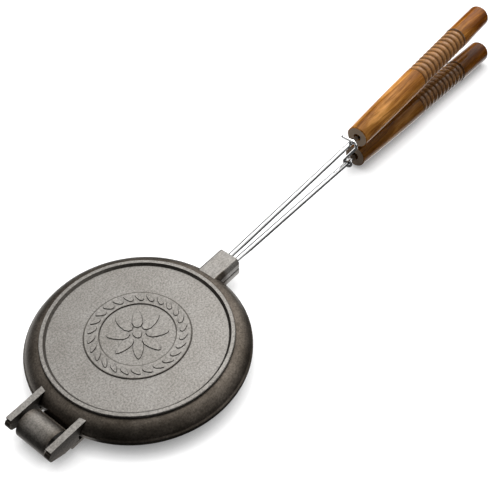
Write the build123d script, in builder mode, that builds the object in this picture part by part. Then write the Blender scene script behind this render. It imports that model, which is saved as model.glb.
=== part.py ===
from build123d import *
import os
from math import cos, hypot, radians, sin, tan

# Campfire waffle iron: two cast iron plates joined by a take-apart hinge,
# a steel rod and a turned wooden handle on each, and a wire latch that
# holds the rods together. The origin is the centre of the flat ring that
# the closed iron rests on, +X points to the handles, +Z is up. All in mm.

# Plates, each measured from the parting plane outwards
rim_radius = 92.0
half_height = 14.8
lip_height = 1.8
lip_round = 1.2
ring_radius = 76.3
ring_width = 3.1
ring_rise = 2.8
ring_slope = 2.0
ring_chamfer = 0.4
shoulder_bulge = 2.4
disc_recess = 2.2
emblem_outer = 43.0
emblem_inner = 30.9
emblem_rise = 0.8

# Cooking cavity and its grid of pegs
land_width = 8.0
cavity_depth = 8.0
cavity_draft = 16.0
peg_pitch = 13.5
peg_base = 9.6
peg_height = 5.6
peg_draft = 12.0
peg_edge_gap = 1.0

# Rod boss, half on each plate
boss_reach = 114.6
boss_height = 10.3
boss_flat = 17.4
boss_width = 23.0
boss_facet = 4.0
boss_edge = 1.5
boss_round = 1.2

# Hinge: barrel and trunnions on the lower plate, hooked ears on the upper
hinge_reach = 105.0
hinge_drop = 2.2
hinge_flat = 90.0
hinge_notch = 5.0
barrel_radius = 12.1
barrel_length = 30.6
seam_reach = 93.1
seam_height = 2.2
web_depth = 11.5
trunnion_radius = 3.0
trunnion_clearance = 0.08
trunnion_end_gap = 0.3
ear_gap = 3.4
ear_width = 5.5
ear_skin = 2.0
ear_root = 90.5
ear_height = 10.3
ear_skirt = 4.3
ear_belly = 4.8
ear_end = 11.2
nose_start = 12.2
nose_reach = 14.0
nose_low = 0.4
nose_high = 7.2
hook_wall = 1.8
slot_angle = 35.0
slot_length = 12.0
lug_gap = 0.4
lug_height = 3.1
lug_reach = 98.8
lug_chamfer = 1.0

# Rods
rod_radius = 2.38
rod_height = 6.24
rod_splay = 1.75
rod_in_boss = 26.4
rod_exposed = 196.8
rod_in_handle = 80.0
rod_fit = 0.05
rod_bend_radius = 400.0

# Handles
handle_splay = 2.23
upper_handle_lean = 1.4
lower_handle_lean = -0.74
handle_length = 253.0
handle_near_radius = 11.3
handle_belly_radius = 12.7
handle_far_radius = 12.3
handle_near_edge = 0.8
handle_far_round = 3.0
mouth_radius = 3.9
mouth_depth = 9.0
band_start = 112.0
bead_count = 11
bead_pitch = 7.7
bead_radius = 12.4
bead_swell = 0.7
groove_width = 2.6
groove_depth = 0.9

# Latch wire
wire_radius = 1.5
latch_gap = 12.5
eye_clearance = 0.25
hook_clearance = 0.3
arm_lean = 29.0
hook_bend = 5.0
tail_length = 9.5
tail_flick_radius = 6.0
tail_flick_angle = 30.0
eye_turn = 270.0

# Values worked out from the sizes above
parting = Plane.XY.offset(half_height)
ring_outer = ring_radius + ring_width / 2
ring_inner = ring_radius - ring_width / 2
cavity_radius = rim_radius - land_width
cavity_floor_radius = cavity_radius - cavity_depth * tan(radians(cavity_draft))
boss_root = ring_inner
hinge_x = -hinge_reach
hinge_z = half_height - hinge_drop
ear_inner = barrel_length / 2 + ear_gap
ear_outer = ear_inner + ear_width
bore_radius = trunnion_radius + trunnion_clearance
hook_radius = bore_radius + hook_wall
lug_top = half_height - ear_skirt - lug_gap
rod_bore_radius = rod_radius + rod_fit


def rod_direction(side):
    """Direction of a rod away from its boss, with side 1 above the parting plane and -1 below."""
    return Vector(cos(radians(rod_splay)), 0, side * sin(radians(rod_splay)))


def handle_direction(side):
    """Direction of a handle, which splays a little more than its rod and leans sideways."""
    lean = upper_handle_lean if side > 0 else lower_handle_lean
    return Vector(1, tan(radians(lean)), side * tan(radians(handle_splay))).normalized()


def rod_point(side, distance):
    """Point on a rod's straight part, that far from the end of its boss."""
    return Vector(boss_reach, 0, half_height + side * rod_height) + rod_direction(side) * distance


# One plate without its hinge, as the lower plate lies: revolved outside and half of the rod boss
with BuildPart() as blank:
    with BuildSketch(Plane.XZ):
        with BuildLine():
            Polyline(
                (0, half_height),
                (rim_radius, half_height),
                (rim_radius, half_height - lip_height),
                (rim_radius - lip_round, half_height - lip_height - lip_round),
            )
            SagittaArc(
                (rim_radius - lip_round, half_height - lip_height - lip_round),
                (ring_outer, ring_rise),
                shoulder_bulge,
            )
            Polyline(
                (ring_outer, ring_rise),
                (ring_outer, ring_chamfer),
                (ring_outer - ring_chamfer, 0),
                (ring_inner, 0),
                (ring_inner - ring_slope, disc_recess),
                (emblem_outer, disc_recess),
                (emblem_outer, disc_recess - emblem_rise),
                (emblem_inner, disc_recess - emblem_rise),
                (emblem_inner, disc_recess),
                (0, disc_recess),
                (0, half_height),
            )
        make_face()
    revolve(axis=Axis.Z)
    with BuildSketch(Plane.YZ.offset(boss_root)) as boss_section:
        with BuildLine():
            Polyline(
                (-boss_width / 2, half_height),
                (-boss_width / 2, half_height - boss_height + boss_facet),
                (-boss_flat / 2, half_height - boss_height),
                (boss_flat / 2, half_height - boss_height),
                (boss_width / 2, half_height - boss_height + boss_facet),
                (boss_width / 2, half_height),
                close=True,
            )
        make_face()
        fillet(boss_section.vertices().group_by(Axis.Z)[0], boss_edge)
    extrude(amount=boss_reach - boss_root)
    boss_end = blank.faces().sort_by(Axis.X)[-1]
    fillet(boss_end.edges().filter_by(lambda edge: edge.center().Z < half_height - boss_edge / 2), boss_round)
    # flat at the hinge side, which leaves room for the barrel between the ears
    with BuildSketch(Plane.YZ.offset(-hinge_flat)):
        with Locations((0, half_height)):
            Rectangle(2 * ear_inner, 2 * hinge_notch)
    extrude(amount=hinge_flat - rim_radius, mode=Mode.SUBTRACT)

# The space that the batter fills, cut from both plates, and the pegs that stand in it
with BuildPart() as cavity:
    with BuildSketch(Plane.XZ):
        with BuildLine():
            Polyline(
                (0, half_height),
                (cavity_radius, half_height),
                (cavity_floor_radius, half_height - cavity_depth),
                (0, half_height - cavity_depth),
                close=True,
            )
        make_face()
    revolve(axis=Axis.Z)

peg_rows = 2 * int(cavity_floor_radius / peg_pitch) + 1
peg_spots = [
    spot.position
    for spot in GridLocations(peg_pitch, peg_pitch, peg_rows, peg_rows)
    if hypot(abs(spot.position.X) + peg_base / 2, abs(spot.position.Y) + peg_base / 2)
    < cavity_floor_radius - peg_edge_gap
]
with BuildPart() as pegs:
    with BuildSketch(Plane.XY.offset(half_height - cavity_depth)):
        with Locations(*peg_spots):
            Rectangle(peg_base, peg_base)
    extrude(amount=peg_height, taper=peg_draft)


def rod_bore(side):
    """The blind hole in a boss that the rod's inner end is fixed in."""
    with BuildPart() as bore:
        with BuildSketch(Plane(origin=rod_point(side, -rod_in_boss), z_dir=rod_direction(side))):
            Circle(rod_bore_radius)
        extrude(amount=rod_in_boss + boss_edge)
    return bore.part


with BuildPart() as bottom_plate:
    add(blank.part)
    # web and casting seam between the plate and the barrel
    with BuildSketch(Plane.XZ):
        with BuildLine():
            Polyline(
                (hinge_x, half_height + seam_height),
                (-seam_reach, half_height + seam_height),
                (-seam_reach, half_height - hinge_notch),
                (-ring_outer, half_height - hinge_notch),
                (-ring_outer, half_height - web_depth),
                (hinge_x, half_height - web_depth),
                close=True,
            )
        make_face()
        with Locations((hinge_x, hinge_z)):
            Circle(barrel_radius)
    extrude(amount=barrel_length / 2, both=True)
    with BuildSketch(Plane.XZ):
        with Locations((hinge_x, hinge_z)):
            Circle(trunnion_radius)
    extrude(amount=ear_outer - ear_skin - trunnion_end_gap, both=True)
    # a lug under each ear
    for side in (-1, 1):
        with BuildSketch(Plane.XZ.offset(-side * ear_inner)):
            with BuildLine():
                Polyline(
                    (-lug_reach, lug_top),
                    (-ring_outer, lug_top),
                    (-ring_outer, lug_top - lug_height),
                    (lug_chamfer - lug_reach, lug_top - lug_height),
                    (-lug_reach, lug_top - lug_height + lug_chamfer),
                    close=True,
                )
            make_face()
        extrude(amount=-side * ear_width)
    add(cavity.part, mode=Mode.SUBTRACT)
    add(pegs.part)
    add(rod_bore(-1), mode=Mode.SUBTRACT)


# Side view of an ear: a bar from the shoulder to a rounded nose, with a skirt past the parting
with BuildSketch() as ear_side:
    with BuildLine():
        Polyline(
            (hinge_x - nose_start, half_height - nose_low),
            (hinge_x, half_height - ear_belly),
            (-ear_root, half_height - ear_skirt),
            (-ear_root, half_height),
            (-ring_outer, half_height),
            (-ring_outer, half_height + ear_height),
            (hinge_x - ear_end, half_height + ear_height),
            (hinge_x - ear_end, half_height + nose_high),
            (hinge_x - nose_start, half_height + nose_high),
        )
        ThreePointArc(
            (hinge_x - nose_start, half_height + nose_high),
            (hinge_x - nose_reach, half_height + (nose_high - nose_low) / 2),
            (hinge_x - nose_start, half_height - nose_low),
        )
    make_face()

with BuildPart() as top_plate:
    mirror(blank.part, about=parting)
    for side in (-1, 1):
        # the outer skin hides the end of the trunnion, and the inner layer hooks round it
        with BuildSketch(Plane.XZ.offset(-side * (ear_outer - ear_skin))):
            add(ear_side.sketch)
        extrude(amount=-side * ear_skin)
        with BuildSketch(Plane.XZ.offset(-side * ear_inner)):
            add(ear_side.sketch)
            with Locations((hinge_x, hinge_z)):
                Circle(hook_radius)
                Circle(bore_radius, mode=Mode.SUBTRACT)
                Rectangle(
                    slot_length,
                    2 * bore_radius,
                    rotation=-slot_angle,
                    align=(Align.MIN, Align.CENTER),
                    mode=Mode.SUBTRACT,
                )
        extrude(amount=-side * (ear_width - ear_skin))
    mirror(cavity.part, about=parting, mode=Mode.SUBTRACT)
    mirror(pegs.part, about=parting)
    add(rod_bore(1), mode=Mode.SUBTRACT)


def make_rod(side):
    """A round steel rod, straight from the boss to the handle, where it bends a little outwards."""
    inner_end = rod_point(side, -rod_in_boss)
    bend = rod_point(side, rod_exposed)
    outer_end = bend + handle_direction(side) * rod_in_handle
    with BuildPart() as rod:
        with BuildLine():
            FilletPolyline(inner_end, bend, outer_end, radius=rod_bend_radius)
        with BuildSketch(Plane(origin=inner_end, z_dir=rod_direction(side))):
            Circle(rod_radius)
        sweep()
    return rod


def make_handle(side):
    """A turned handle: slim at the rod, full in the middle, with a band of beads near the end."""
    near_end = rod_point(side, rod_exposed)
    along = handle_direction(side)
    axis_plane = Plane(origin=near_end, x_dir=along, z_dir=along.cross(Vector(0, 0, 1)))
    valley_radius = bead_radius - bead_swell
    first_groove = band_start - groove_width / 2
    groove_starts = [first_groove + groove * bead_pitch for groove in range(bead_count + 1)]
    band_end = groove_starts[-1] + groove_width
    with BuildPart() as handle:
        with BuildSketch(axis_plane):
            with BuildLine():
                Polyline(
                    (0, 0),
                    (0, handle_near_radius - handle_near_edge),
                    (handle_near_edge, handle_near_radius),
                )
                SagittaArc(
                    (handle_near_edge, handle_near_radius),
                    (first_groove, handle_belly_radius),
                    (handle_belly_radius - handle_near_radius) / 4,
                )
                Line((first_groove, handle_belly_radius), (first_groove, valley_radius))
                for start in groove_starts:
                    ThreePointArc(
                        (start, valley_radius),
                        (start + groove_width / 2, valley_radius - groove_depth),
                        (start + groove_width, valley_radius),
                    )
                for start in groove_starts[:-1]:
                    ThreePointArc(
                        (start + groove_width, valley_radius),
                        (start + (groove_width + bead_pitch) / 2, bead_radius),
                        (start + bead_pitch, valley_radius),
                    )
                Polyline(
                    (band_end, valley_radius),
                    (band_end, handle_belly_radius),
                    (handle_length - handle_far_round, handle_far_radius),
                )
                ThreePointArc(
                    (handle_length - handle_far_round, handle_far_radius),
                    (
                        handle_length - handle_far_round * (1 - sin(radians(45))),
                        handle_far_radius - handle_far_round * (1 - cos(radians(45))),
                    ),
                    (handle_length, handle_far_radius - handle_far_round),
                )
                Polyline((handle_length, handle_far_radius - handle_far_round), (handle_length, 0), (0, 0))
            make_face()
        revolve(axis=Axis(near_end, along))
        with BuildSketch(Plane(origin=near_end, z_dir=along)):
            Circle(rod_bore_radius)
        extrude(amount=rod_in_handle, mode=Mode.SUBTRACT)
        # the bore opens wider at the near end, which leaves room for the bend of the rod
        with BuildSketch(Plane(origin=near_end, z_dir=along)):
            Circle(mouth_radius)
        extrude(amount=mouth_depth, mode=Mode.SUBTRACT)
    return handle


bottom_rod = make_rod(-1)
top_rod = make_rod(1)
bottom_handle = make_handle(-1)
top_handle = make_handle(1)

# The latch is one bent wire: an eye round the lower rod, an arm, a hook over the upper rod and a tail
latch_spot = rod_point(-1, rod_exposed - latch_gap)
latch_plane = Plane(origin=latch_spot, x_dir=(0, 1, 0), z_dir=rod_direction(-1))
eye_radius = rod_radius + eye_clearance + wire_radius
rod_spacing = 2 * (rod_height + tan(radians(rod_splay)) * (latch_spot.X - boss_reach))
hook_top = rod_spacing + rod_radius + hook_clearance + wire_radius
arm_heading = 90 + arm_lean
lean_cos = cos(radians(arm_lean))
lean_sin = sin(radians(arm_lean))
arm_rise = hook_top - hook_bend * (1 + lean_sin) - eye_radius * lean_sin
arm_top_x = eye_radius * lean_cos - arm_rise * tan(radians(arm_lean))
arm_top_y = hook_top - hook_bend * (1 + lean_sin)
bend_x = arm_top_x + hook_bend * lean_cos
tail_end_x = bend_x + tail_length
with BuildPart() as latch_hook:
    with BuildLine(latch_plane):
        eye = CenterArc((0, 0), eye_radius, arm_lean - eye_turn, eye_turn)
        Line((eye_radius * lean_cos, eye_radius * lean_sin), (arm_top_x, arm_top_y))
        CenterArc((bend_x, hook_top - hook_bend), hook_bend, 90, 90 + arm_lean)
        Line((bend_x, hook_top), (tail_end_x, hook_top))
        CenterArc((tail_end_x, hook_top + tail_flick_radius), tail_flick_radius, -90, tail_flick_angle)
    with BuildSketch(Plane(origin=eye @ 0, z_dir=eye % 0)):
        Circle(wire_radius)
    sweep()

os.makedirs("parts", exist_ok=True)
nodes = {
    "bottom_plate": bottom_plate,
    "top_plate": top_plate,
    "bottom_rod": bottom_rod,
    "top_rod": top_rod,
    "bottom_handle": bottom_handle,
    "top_handle": top_handle,
    "latch_hook": latch_hook,
}
for name, node in nodes.items():
    node.part.label = name
    export_step(node.part, f"parts/{name}.step")
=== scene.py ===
from math import cos, pi, radians, sin

import bpy
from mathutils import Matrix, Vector


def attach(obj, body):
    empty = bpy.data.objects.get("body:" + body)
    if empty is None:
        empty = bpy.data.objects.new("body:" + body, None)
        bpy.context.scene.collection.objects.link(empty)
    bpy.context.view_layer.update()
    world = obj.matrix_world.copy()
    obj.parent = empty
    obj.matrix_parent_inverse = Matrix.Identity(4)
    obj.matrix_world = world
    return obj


MM = 0.001

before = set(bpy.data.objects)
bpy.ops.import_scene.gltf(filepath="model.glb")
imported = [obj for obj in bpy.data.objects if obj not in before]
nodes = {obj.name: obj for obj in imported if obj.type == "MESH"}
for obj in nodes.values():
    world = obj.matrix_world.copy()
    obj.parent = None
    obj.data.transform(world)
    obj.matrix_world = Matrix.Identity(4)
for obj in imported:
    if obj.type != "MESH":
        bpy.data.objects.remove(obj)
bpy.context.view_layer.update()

# Places of the CAD model that the looks follow, in metres
parting_height = 14.8 * MM
disc_height = 27.4 * MM
emblem_height = 28.2 * MM
emblem_outer = 43.0 * MM
emblem_inner = 30.9 * MM
barrel_half = 17.5 * MM
handle_near = 311.3 * MM
handle_far = 564.5 * MM
band_start = 423.2 * MM
bead_pitch = 7.69 * MM
bead_count = 11
groove_half = 1.3 * MM

# Colours are shares of red, green and blue in linear light
white = (1, 1, 1)


# Helpers for the shader nodes
def new_material(name, roughness, metallic):
    """A material, its node tree and its shader."""
    material = bpy.data.materials.new(name)
    material.use_nodes = True
    shader = material.node_tree.nodes["Principled BSDF"]
    shader.inputs["Roughness"].default_value = roughness
    shader.inputs["Metallic"].default_value = metallic
    return material, material.node_tree, shader


def add_node(tree, kind, **values):
    """A shader node with its settings: properties by name, sockets by name with spaces for underscores."""
    node = tree.nodes.new(kind)
    for key, value in values.items():
        socket = node.inputs.get(key.replace("_", " "))
        if socket is not None:
            socket.default_value = value
        else:
            setattr(node, key, value)
    return node


def feed(tree, socket, value):
    """Links the socket to another node's output, or gives it a number or a colour."""
    if isinstance(value, bpy.types.NodeSocket):
        tree.links.new(value, socket)
    elif isinstance(value, tuple):
        socket.default_value = (*value, 1)
    else:
        socket.default_value = value


def ramp(tree, source, *stops):
    """A colour ramp fed by source, each stop (position, colour)."""
    node = tree.nodes.new("ShaderNodeValToRGB")
    elements = node.color_ramp.elements
    while len(elements) < len(stops):
        elements.new(0.5)
    for element, (position, colour) in zip(elements, stops):
        element.position = position
        element.color = (*colour, 1)
    tree.links.new(source, node.inputs["Fac"])
    return node.outputs["Color"]


def mix(tree, blend, factor, first, second):
    """Two colours blended, each a colour or a node's output."""
    node = add_node(tree, "ShaderNodeMix", data_type="RGBA", blend_type=blend)
    for socket, value in ((0, factor), (6, first), (7, second)):
        feed(tree, node.inputs[socket], value)
    return node.outputs[2]


def node_math(tree, operation, first, second=0.0, third=0.0):
    """One calculation on numbers or nodes' outputs."""
    node = add_node(tree, "ShaderNodeMath", operation=operation)
    for socket, value in zip(node.inputs, (first, second, third)):
        feed(tree, socket, value)
    return node.outputs[0]


def combined(tree, operation, first, *others):
    """Several values multiplied, or the greatest of them, and so on."""
    for other in others:
        first = node_math(tree, operation, first, other)
    return first


def distance_from(tree, value, middle):
    """How far the value is from the middle, on either side."""
    return node_math(tree, "ABSOLUTE", node_math(tree, "SUBTRACT", value, middle))


def step_between(tree, value, low, high):
    """0 below low, 1 above high and smooth between; with low above high it falls instead."""
    node = add_node(tree, "ShaderNodeMapRange", interpolation_type="SMOOTHSTEP", From_Min=low, From_Max=high)
    tree.links.new(value, node.inputs["Value"])
    return node.outputs["Result"]


def between(tree, share, at_zero, at_one):
    """A value that goes evenly from at_zero to at_one as share goes from 0 to 1."""
    node = add_node(tree, "ShaderNodeMapRange", To_Min=at_zero, To_Max=at_one)
    tree.links.new(share, node.inputs["Value"])
    return node.outputs["Result"]


def position_and_normal(tree, coordinates):
    """The x, y, z of the point in the object's frame, and the x, y, z of its normal."""
    place = add_node(tree, "ShaderNodeSeparateXYZ")
    facing = add_node(tree, "ShaderNodeSeparateXYZ")
    tree.links.new(coordinates.outputs["Object"], place.inputs[0])
    tree.links.new(coordinates.outputs["Normal"], facing.inputs[0])
    return place.outputs, facing.outputs


# Iron. Depths are measured from the parting plane, and the bars are the rod boss and the ears. A pair of
# values is where a blend starts and ends
raised_depths = (12.1 * MM, 12.4 * MM)
bar_depth = 10.3 * MM
bar_depth_range = 0.3 * MM
boss_starts = (94 * MM, 100 * MM)
hinge_starts = (-94 * MM, -97 * MM)
# Painted highlight on the barrel: its fade into painted shade towards each ear, the faces that take it, its
# strength
barrel_shaded = 10 * MM
barrel_highlight_facing = (0.1, 0.8)
barrel_highlight_strength = 0.6
level_faces = (0.97, 0.995)
inward_slopes = (0.0, -20 * MM)
outer_line = 0.9 * MM
inner_line = 0.6 * MM
emblem_margin = 1 * MM
crevice_reach = 1.6 * MM
iron_bump = 0.15 * MM
iron_metal = (1.0, 0.75)
iron_roughness = (0.34, 0.48)
shoulder_dullness = 0.12
rubbed_and_highlight_dark = (0.175, 0.163, 0.147)
rubbed_and_highlight_pale = (0.235, 0.223, 0.207)
seasoned_dark = (0.058, 0.048, 0.038)
seasoned_pale = (0.11, 0.094, 0.078)
slope_shade_and_soot = (0.07, 0.062, 0.053)
crevice_shade_colour = (0.1, 0.09, 0.08)
grain_shadow = (0.55, 0.55, 0.55)


def rubbed_iron_and_barrel_highlight(tree, place, facing, level, raised, depth):
    """Where the iron is rubbed bright: ring and disc, tops of boss and ears, end of the boss. On the barrel,
    a painted highlight along its upward half that fades into painted shade near the ears.
    """
    at_bar_top = node_math(tree, "COMPARE", depth, bar_depth, bar_depth_range)
    bar_tops = node_math(tree, "MULTIPLY", level, at_bar_top)
    boss_end = step_between(tree, place[0], *boss_starts)
    # painted highlight on the upward half of the barrel, fading into painted shade near the ears
    on_hinge = step_between(tree, place[0], *hinge_starts)
    from_middle = node_math(tree, "ABSOLUTE", place[1])
    between_ears = step_between(tree, from_middle, barrel_half, barrel_half - barrel_shaded)
    upwards = step_between(tree, facing[2], *barrel_highlight_facing)
    painted_barrel_highlight = combined(tree, "MULTIPLY", on_hinge, between_ears, upwards, barrel_highlight_strength)
    return combined(tree, "MAXIMUM", bar_tops, boss_end, raised, painted_barrel_highlight)


def iron_shade_and_soot(tree, place, facing, level, raised):
    """Painted shade with some soot: darker on the inner slope of the ring, the slopes of the relief and both
    edges of the relief's band.
    """
    sideways = node_math(tree, "MULTIPLY", place[1], facing[1])
    outwards = node_math(tree, "MULTIPLY_ADD", place[0], facing[0], sideways)
    inner_slope = step_between(tree, outwards, *inward_slopes)
    flat_place = add_node(tree, "ShaderNodeCombineXYZ")
    tree.links.new(place[0], flat_place.inputs[0])
    tree.links.new(place[1], flat_place.inputs[1])
    from_middle = add_node(tree, "ShaderNodeVectorMath", operation="LENGTH")
    tree.links.new(flat_place.outputs[0], from_middle.inputs[0])
    radius = from_middle.outputs["Value"]
    in_emblem = node_math(tree, "LESS_THAN", radius, emblem_outer + emblem_margin)
    relief_sides = node_math(tree, "MULTIPLY", in_emblem, node_math(tree, "SUBTRACT", 1.0, level))
    outer_edge = step_between(tree, distance_from(tree, radius, emblem_outer), outer_line, outer_line / 2)
    inner_edge = step_between(tree, distance_from(tree, radius, emblem_inner), inner_line, inner_line / 2)
    shade_and_soot = combined(tree, "MAXIMUM", inner_slope, relief_sides, outer_edge, inner_edge)
    return node_math(tree, "MULTIPLY", raised, shade_and_soot)


def cast_iron():
    """Sand-cast iron: bright rubbed flats, darker seasoned shoulders, a sandy grain and shallow pits, with a
    painted highlight on the barrel and painted shade, with some soot, on slopes, edges and crevices.
    """
    material, tree, shader = new_material("cast_iron", roughness=0.42, metallic=1.0)
    coordinates = add_node(tree, "ShaderNodeTexCoord")
    place, facing = position_and_normal(tree, coordinates)
    patches = add_node(tree, "ShaderNodeTexNoise", Scale=38.0, Detail=6.0, Roughness=0.62)
    grains = add_node(tree, "ShaderNodeTexNoise", Scale=620.0, Detail=4.0, Roughness=0.7)
    pits = add_node(tree, "ShaderNodeTexVoronoi", Scale=420.0)
    for texture in (patches, grains, pits):
        tree.links.new(coordinates.outputs["Object"], texture.inputs["Vector"])
    level = step_between(tree, node_math(tree, "ABSOLUTE", facing[2]), *level_faces)
    depth = distance_from(tree, place[2], parting_height)
    raised = step_between(tree, depth, *raised_depths)
    bright = rubbed_iron_and_barrel_highlight(tree, place, facing, level, raised, depth)
    shade_and_soot = iron_shade_and_soot(tree, place, facing, level, raised)
    rubbed_and_highlight = ramp(tree, patches.outputs["Fac"], (0.3, rubbed_and_highlight_dark), (0.7, rubbed_and_highlight_pale))
    seasoned = ramp(tree, patches.outputs["Fac"], (0.35, seasoned_dark), (0.65, seasoned_pale))
    # painted shade with some soot on the slopes and edge lines
    base = mix(tree, "MIX", bright, seasoned, mix(tree, "MIX", shade_and_soot, rubbed_and_highlight, slope_shade_and_soot))
    grain_shade = ramp(tree, grains.outputs["Fac"], (0.38, grain_shadow), (0.62, white))
    grained = mix(tree, "MULTIPLY", 1.0, base, grain_shade)
    # Painted shade with some soot: darker in crevices and gaps, by ambient occlusion
    crevices = add_node(tree, "ShaderNodeAmbientOcclusion", Distance=crevice_reach, samples=8)
    crevice_darkening = ramp(tree, crevices.outputs["AO"], (0.45, crevice_shade_colour), (0.93, white))
    tree.links.new(mix(tree, "MULTIPLY", 1.0, grained, crevice_darkening), shader.inputs["Base Color"])
    tree.links.new(between(tree, bright, *iron_metal), shader.inputs["Metallic"])
    duller = node_math(tree, "MULTIPLY", node_math(tree, "SUBTRACT", 1.0, bright), shoulder_dullness)
    roughness = node_math(tree, "ADD", between(tree, patches.outputs["Fac"], *iron_roughness), duller)
    tree.links.new(roughness, shader.inputs["Roughness"])
    coarse = add_node(tree, "ShaderNodeBump", Strength=0.35, Distance=iron_bump)
    fine = add_node(tree, "ShaderNodeBump", Strength=0.6, Distance=iron_bump)
    tree.links.new(pits.outputs["Distance"], coarse.inputs["Height"])
    tree.links.new(grains.outputs["Fac"], fine.inputs["Height"])
    tree.links.new(coarse.outputs["Normal"], fine.inputs["Normal"])
    tree.links.new(fine.outputs["Normal"], shader.inputs["Normal"])
    return material


# Plated steel
def plated_steel(name, dull, bright):
    """Bright plated wire and rod, mottled between two greys."""
    material, tree, shader = new_material(name, roughness=0.07, metallic=1.0)
    coordinates = add_node(tree, "ShaderNodeTexCoord")
    mottles = add_node(tree, "ShaderNodeTexNoise", Scale=300.0, Detail=3.0)
    tree.links.new(coordinates.outputs["Object"], mottles.inputs["Vector"])
    colour = ramp(tree, mottles.outputs["Fac"], (0.3, (dull, dull, dull)), (0.7, (bright, bright, bright)))
    tree.links.new(colour, shader.inputs["Base Color"])
    return material


# Wood. The colours are those of the light upper handle; the tone darkens some of them for the lower one,
# partly as a darker stain and partly as painted shade
grain_dark = (0.16, 0.05, 0.006)
grain_middle = (0.37, 0.15, 0.022)
grain_pale = (0.64, 0.3, 0.07)
cloud_shade = (0.5, 0.43, 0.3)
bead_colour = (0.4, 0.22, 0.092)
groove_colour = (0.06, 0.026, 0.009)
near_face_colour = (0.41, 0.31, 0.23)
far_face_shaded_colour = (0.24, 0.12, 0.05)
bead_wear = 0.45
bead_varnish = 0.25
varnish_roughness = 0.1
groove_darkening = 0.3
groove_shades = (0.08, 0.3)
end_faces = (0.85, 0.97)
wood_gloss = 0.06
wood_bump = 0.2 * MM


def toned(colour, tone):
    """A colour made darker or lighter by the tone."""
    return tuple(part * tone for part in colour)


def turned_wood(name, tone):
    """Stained and varnished wood: grain along the handle, beads, a painted sheen near the rod, darker
    grooves, and bare end faces with the far one painted darker as shade.
    """
    material, tree, shader = new_material(name, roughness=0.22, metallic=0.0)
    coordinates = add_node(tree, "ShaderNodeTexCoord")
    place, facing = position_and_normal(tree, coordinates)
    stretch = add_node(tree, "ShaderNodeMapping", Scale=(16.0, 230.0, 230.0))
    grain = add_node(tree, "ShaderNodeTexNoise", Scale=1.0, Detail=6.0, Roughness=0.62, Distortion=0.8)
    long_clouds = add_node(tree, "ShaderNodeMapping", Scale=(24.0, 110.0, 110.0))
    clouds = add_node(tree, "ShaderNodeTexNoise", Scale=1.0, Detail=4.0, Roughness=0.6)
    for mapping, texture in ((stretch, grain), (long_clouds, clouds)):
        tree.links.new(coordinates.outputs["Object"], mapping.inputs["Vector"])
        tree.links.new(mapping.outputs["Vector"], texture.inputs["Vector"])
    streaks = ramp(tree, grain.outputs["Fac"], (0.3, grain_dark), (0.5, grain_middle), (0.7, grain_pale))
    shade = ramp(tree, clouds.outputs["Fac"], (0.3, toned(cloud_shade, tone)), (0.65, toned(white, tone)))
    # painted sheen: paler and bluer between the rod and the beads; darker towards the far end
    length_share = add_node(tree, "ShaderNodeMapRange", From_Min=handle_near, From_Max=handle_far)
    tree.links.new(place[0], length_share.inputs["Value"])
    sheen_and_far_darkening = ramp(
        tree,
        length_share.outputs["Result"],
        (0.0, (1.2, 1.25, 1.5)),
        (0.25, (1.45, 1.5, 2.0)),
        (0.45, (1.1, 1.03, 1.0)),
        (0.8, (0.95, 0.87, 0.72)),
        (0.9, (0.72, 0.55, 0.26)),
    )
    stain_and_sheen = mix(tree, "MULTIPLY", 1.0, mix(tree, "MULTIPLY", 1.0, streaks, sheen_and_far_darkening), shade)
    # how many beads along the point lies, and how near to a groove
    along = node_math(tree, "DIVIDE", node_math(tree, "SUBTRACT", place[0], band_start), bead_pitch)
    to_groove = distance_from(tree, along, node_math(tree, "ROUND", along))
    in_groove = node_math(tree, "SUBTRACT", 1.0, step_between(tree, to_groove, *groove_shades))
    beads_middle = bead_count / 2
    from_middle = distance_from(tree, along, beads_middle)
    in_band = node_math(tree, "LESS_THAN", from_middle, beads_middle + groove_half / bead_pitch)
    worn_here = node_math(tree, "MULTIPLY", in_band, bead_wear)
    worn_beads_and_sheen = mix(tree, "MIX", worn_here, stain_and_sheen, toned(bead_colour, tone))
    # darker in the grooves between the beads
    groove_dark_here = combined(tree, "MULTIPLY", in_groove, in_band, groove_darkening)
    grooved = mix(tree, "MIX", groove_dark_here, worn_beads_and_sheen, groove_colour)
    near_face = step_between(tree, node_math(tree, "MULTIPLY", facing[0], -1.0), *end_faces)
    # the far end face is painted darker than the near one: painted shade against the lamp that lights it
    far_face = step_between(tree, facing[0], *end_faces)
    one_end = mix(tree, "MIX", near_face, grooved, toned(near_face_colour, tone))
    colour = mix(tree, "MIX", far_face, one_end, toned(far_face_shaded_colour, tone))
    tree.links.new(colour, shader.inputs["Base Color"])
    shader.inputs["Specular IOR Level"].default_value = wood_gloss * tone
    shader.inputs["Coat Roughness"].default_value = varnish_roughness
    tree.links.new(node_math(tree, "MULTIPLY", in_band, bead_varnish), shader.inputs["Coat Weight"])
    ripple = add_node(tree, "ShaderNodeBump", Strength=0.25, Distance=wood_bump)
    tree.links.new(grain.outputs["Fac"], ripple.inputs["Height"])
    tree.links.new(ripple.outputs["Normal"], shader.inputs["Normal"])
    return material


# Finishes of the CAD model
iron = cast_iron()
steel = plated_steel("plated_steel", dull=0.4, bright=0.5)
bright_wire = plated_steel("plated_wire", dull=0.66, bright=0.82)
light_wood = turned_wood("turned_wood", tone=1.0)
# The lower handle's darker tone: partly a darker stain, partly painted shade
darker_shaded_wood = turned_wood("turned_wood_dark_shaded", tone=0.58)
finishes = {
    "bottom_plate": iron,
    "top_plate": iron,
    "bottom_rod": steel,
    "top_rod": steel,
    "latch_hook": bright_wire,
    "bottom_handle": darker_shaded_wood,
    "top_handle": light_wood,
}
for name, material in finishes.items():
    nodes[name].data.materials.clear()
    nodes[name].data.materials.append(material)

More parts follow.
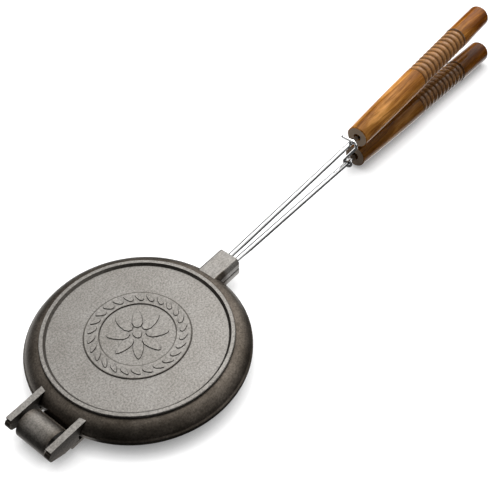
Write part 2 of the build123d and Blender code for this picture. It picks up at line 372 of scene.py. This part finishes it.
# Relief in the middle of both plates: a wreath of leaves in the raised band and a rosette inside it
relief_height = 0.7 * MM
relief_slope = 0.45 * MM
wreath_leaves = 26
wreath_radius = (emblem_outer + emblem_inner) / 2
wreath_turn = radians(52)
wreath_leaf = (9.4 * MM, 4.2 * MM)
rosette_petals = 8
rosette_radius = 15.5 * MM
rosette_petal = (19 * MM, 8.6 * MM)
button_size = (8 * MM, 8 * MM)
outline_points = 12
leaf_point = 0.35


def relief(name, outline, base, height, slope, body):
    """A raised pad with sloping sides; the outline is a list of (x, y) round its foot."""
    middle = sum((Vector(point) for point in outline), Vector((0, 0))) / len(outline)
    foot = [Vector(point) for point in outline]
    top = [point + (middle - point).normalized() * slope for point in foot]
    vertices = [(*point, base) for point in foot] + [(*point, base + height) for point in top]
    count = len(outline)
    faces = [(i, (i + 1) % count, count + (i + 1) % count, count + i) for i in range(count)]
    faces.append(tuple(range(count, 2 * count)))
    # a pad that points down has its faces the other way round
    if height < 0:
        faces = [face[::-1] for face in faces]
    mesh = bpy.data.meshes.new(name)
    mesh.from_pydata(vertices, [], faces)
    pad = bpy.data.objects.new(name, mesh)
    bpy.context.scene.collection.objects.link(pad)
    mesh.materials.append(iron)
    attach(pad, body)


def leaf(radius, angle, turn, size):
    """A pointed leaf of that length and width, centred on a circle and turned from its radius."""
    length, width = size
    heading = angle + turn
    outline = []
    for step in range(outline_points):
        swing = 2 * pi * step / outline_points
        along = length / 2 * cos(swing)
        across = width / 2 * sin(swing) * (1 - leaf_point * cos(swing))
        x = radius * cos(angle) + along * cos(heading) - across * sin(heading)
        y = radius * sin(angle) + along * sin(heading) + across * cos(heading)
        outline.append((x, y))
    return outline


for body, disc, band, upwards in (
    ("top_half", disc_height, emblem_height, 1),
    ("bottom_half", 2 * parting_height - disc_height, 2 * parting_height - emblem_height, -1),
):
    for index in range(wreath_leaves):
        shape = leaf(wreath_radius, 2 * pi * index / wreath_leaves, wreath_turn, wreath_leaf)
        relief(f"{body}_leaf_{index}", shape, band, upwards * relief_height, relief_slope, body)
    for index in range(rosette_petals):
        shape = leaf(rosette_radius, 2 * pi * index / rosette_petals, 0, rosette_petal)
        relief(f"{body}_petal_{index}", shape, disc, upwards * relief_height, relief_slope, body)
    shape = leaf(0, 0, 0, button_size)
    relief(f"{body}_button", shape, disc, upwards * relief_height, relief_slope, body)

# Floor, tilted as the iron rests: on its barrel and the end of its lower handle. The camera sees it white
# with the object's cast shadow and a painted contact shadow. What the metal reflects is a bright field
# beside the plates and the handles, and dark elsewhere. A pair of values is where a blend starts and ends,
# in metres
floor_side = 6
floor_drop = 2.65 * MM
floor_tilt = radians(1.72)
floor_paint = (0.45, 0.45, 0.45, 1)
floor_glow = 0.82
shadow_reach = 14 * MM
floor_bright = (2.2, 2.2, 2.2)
floor_dark = (0.08, 0.08, 0.08)
bright_side = (-36 * MM, -28 * MM)
under_rods_from = (0.14, 0.16)
under_rods_to = (0.33, 0.31)
under_rods_shift = 45 * MM
bright_plates_to = (0.16, 0.14)
bright_handles_from = (0.29, 0.31)
bright_hinge_from = (-0.145, -0.11)
bright_half_width = (0.4, 0.2)


def floor_material():
    """White for the camera with the object's cast shadow and a painted contact shadow, plain for matt
    things, dark and bright for gloss.
    """
    material, tree, shader = new_material("floor", roughness=0.9, metallic=0.0)
    shader.inputs["Base Color"].default_value = floor_paint
    shader.inputs["Specular IOR Level"].default_value = 0.0
    path = add_node(tree, "ShaderNodeLightPath")
    # Painted contact shadow: the white glow fades near the object by ambient occlusion
    painted_contact_shadow = add_node(tree, "ShaderNodeAmbientOcclusion", Distance=shadow_reach, samples=8)
    glow = add_node(tree, "ShaderNodeEmission", Color=(1, 1, 1, 1))
    tree.links.new(node_math(tree, "MULTIPLY", painted_contact_shadow.outputs["AO"], floor_glow), glow.inputs["Strength"])
    lit = add_node(tree, "ShaderNodeAddShader")
    tree.links.new(shader.outputs[0], lit.inputs[0])
    tree.links.new(glow.outputs[0], lit.inputs[1])
    bounce = add_node(tree, "ShaderNodeBsdfDiffuse", Color=floor_paint)

    coordinates = add_node(tree, "ShaderNodeTexCoord")
    place = add_node(tree, "ShaderNodeSeparateXYZ")
    tree.links.new(coordinates.outputs["Object"], place.inputs[0])
    x, y = place.outputs["X"], place.outputs["Y"]
    along_rods = node_math(
        tree, "MULTIPLY", step_between(tree, x, *under_rods_from), step_between(tree, x, *under_rods_to)
    )
    shift = node_math(tree, "MULTIPLY", along_rods, under_rods_shift)
    past_edge = step_between(tree, node_math(tree, "SUBTRACT", y, shift), *bright_side)
    nearby = step_between(tree, node_math(tree, "ABSOLUTE", y), *bright_half_width)
    by_plates = step_between(tree, x, *bright_plates_to)
    by_handles = step_between(tree, x, *bright_handles_from)
    off_rods = node_math(tree, "ADD", by_plates, by_handles)
    off_hinge = step_between(tree, x, *bright_hinge_from)
    bright_field = combined(tree, "MULTIPLY", past_edge, nearby, off_rods, off_hinge)
    reflected = add_node(tree, "ShaderNodeEmission", Strength=1.0)
    seen = ramp(tree, bright_field, (0.0, floor_dark), (1.0, floor_bright))
    tree.links.new(seen, reflected.inputs["Color"])

    for_gloss = add_node(tree, "ShaderNodeMixShader")
    tree.links.new(path.outputs["Is Glossy Ray"], for_gloss.inputs[0])
    tree.links.new(bounce.outputs[0], for_gloss.inputs[1])
    tree.links.new(reflected.outputs[0], for_gloss.inputs[2])
    for_camera = add_node(tree, "ShaderNodeMixShader")
    tree.links.new(path.outputs["Is Camera Ray"], for_camera.inputs[0])
    tree.links.new(for_gloss.outputs[0], for_camera.inputs[1])
    tree.links.new(lit.outputs[0], for_camera.inputs[2])
    tree.links.new(for_camera.outputs[0], tree.nodes["Material Output"].inputs["Surface"])
    return material


floor_place = (0, 0, -floor_drop)
bpy.ops.mesh.primitive_plane_add(size=floor_side, location=floor_place, rotation=(0, floor_tilt, 0))
floor = bpy.context.object
floor.name = "floor"
floor.data.materials.append(floor_material())

# Room. White for the camera. For the light it is a pale room, dark on the side that the photo was taken
# from, with a large lamp that shows in gloss and a window that lights what is matt. Angles are in degrees
dark_side = (-0.5355, -0.4295, 0.7272)
dark_angles = (8, 48)
dark_strength = 0.03
room_strength = 1.45
room_for_matt = 0.27
lamp_side = (0.69, 0.12, 0.71)
lamp_angles = (4, 36)
lamp_strength = 4.4
window_side = (0.05, 0.62, 0.78)
window_angles = (10, 45)
window_strength = 2.6
horizon_band = (0.08, 0.34)
horizon_lift = 0.3
lifted_side = (0.35, 0.65)
left_far = -0.85
left_near = -0.5
left_dimming = 0.1


def studio_world():
    """The world's background, which changes with direction and with the kind of ray."""
    world = bpy.data.worlds.new("studio")
    world.use_nodes = True
    tree = world.node_tree
    coordinates = add_node(tree, "ShaderNodeTexCoord")

    def cap(direction, angles, inside, beyond):
        """A value that changes smoothly between two angles from that direction."""
        inner, outer = angles
        closeness = add_node(tree, "ShaderNodeVectorMath", operation="DOT_PRODUCT")
        tree.links.new(coordinates.outputs["Generated"], closeness.inputs[0])
        closeness.inputs[1].default_value = Vector(direction).normalized()
        blend = add_node(
            tree,
            "ShaderNodeMapRange",
            interpolation_type="SMOOTHSTEP",
            From_Min=cos(radians(outer)),
            From_Max=cos(radians(inner)),
            To_Min=beyond,
            To_Max=inside,
        )
        tree.links.new(closeness.outputs["Value"], blend.inputs["Value"])
        return blend.outputs["Result"]

    def switched(ray, otherwise, value):
        """One value for a kind of ray, another for the rest."""
        switch = add_node(tree, "ShaderNodeMix")
        tree.links.new(path.outputs[ray], switch.inputs[0])
        feed(tree, switch.inputs[2], otherwise)
        feed(tree, switch.inputs[3], value)
        return switch.outputs[0]

    path = add_node(tree, "ShaderNodeLightPath")
    direction = add_node(tree, "ShaderNodeSeparateXYZ")
    tree.links.new(coordinates.outputs["Generated"], direction.inputs[0])
    x, y, z = direction.outputs
    lift = node_math(tree, "MULTIPLY", step_between(tree, y, *lifted_side), horizon_lift)
    above_band = step_between(tree, node_math(tree, "SUBTRACT", z, lift), *horizon_band)
    left = add_node(
        tree, "ShaderNodeMapRange", From_Min=left_far, From_Max=left_near, To_Min=left_dimming, To_Max=1.0
    )
    tree.links.new(x, left.inputs["Value"])
    room_seen = cap(dark_side, dark_angles, dark_strength, room_strength)
    dimming = between(tree, path.outputs["Is Diffuse Ray"], 1.0, room_for_matt)
    room = combined(tree, "MULTIPLY", room_seen, dimming, above_band, left.outputs["Result"])
    lamp = cap(lamp_side, lamp_angles, lamp_strength, 0.0)
    window = cap(window_side, window_angles, window_strength, 0.0)
    light = node_math(tree, "ADD", room, switched("Is Diffuse Ray", lamp, window))
    background = tree.nodes["Background"]
    background.inputs["Color"].default_value = (1, 1, 1, 1)
    tree.links.new(switched("Is Camera Ray", light, 1.0), background.inputs["Strength"])
    return world


bpy.context.scene.world = studio_world()

# Camera, as fitted to the photo
camera_data = bpy.data.cameras.new("camera")
camera_data.lens = 65.2
camera_data.sensor_width = 36
camera_data.clip_start = 0.05
camera = bpy.data.objects.new("camera", camera_data)
bpy.context.scene.collection.objects.link(camera)
camera.location = (-0.28755, -0.34126, 0.60072)
camera.rotation_euler = (radians(43.35), radians(-0.192), radians(-51.266))
bpy.context.scene.camera = camera
bpy.context.scene.view_settings.view_transform = "Standard"
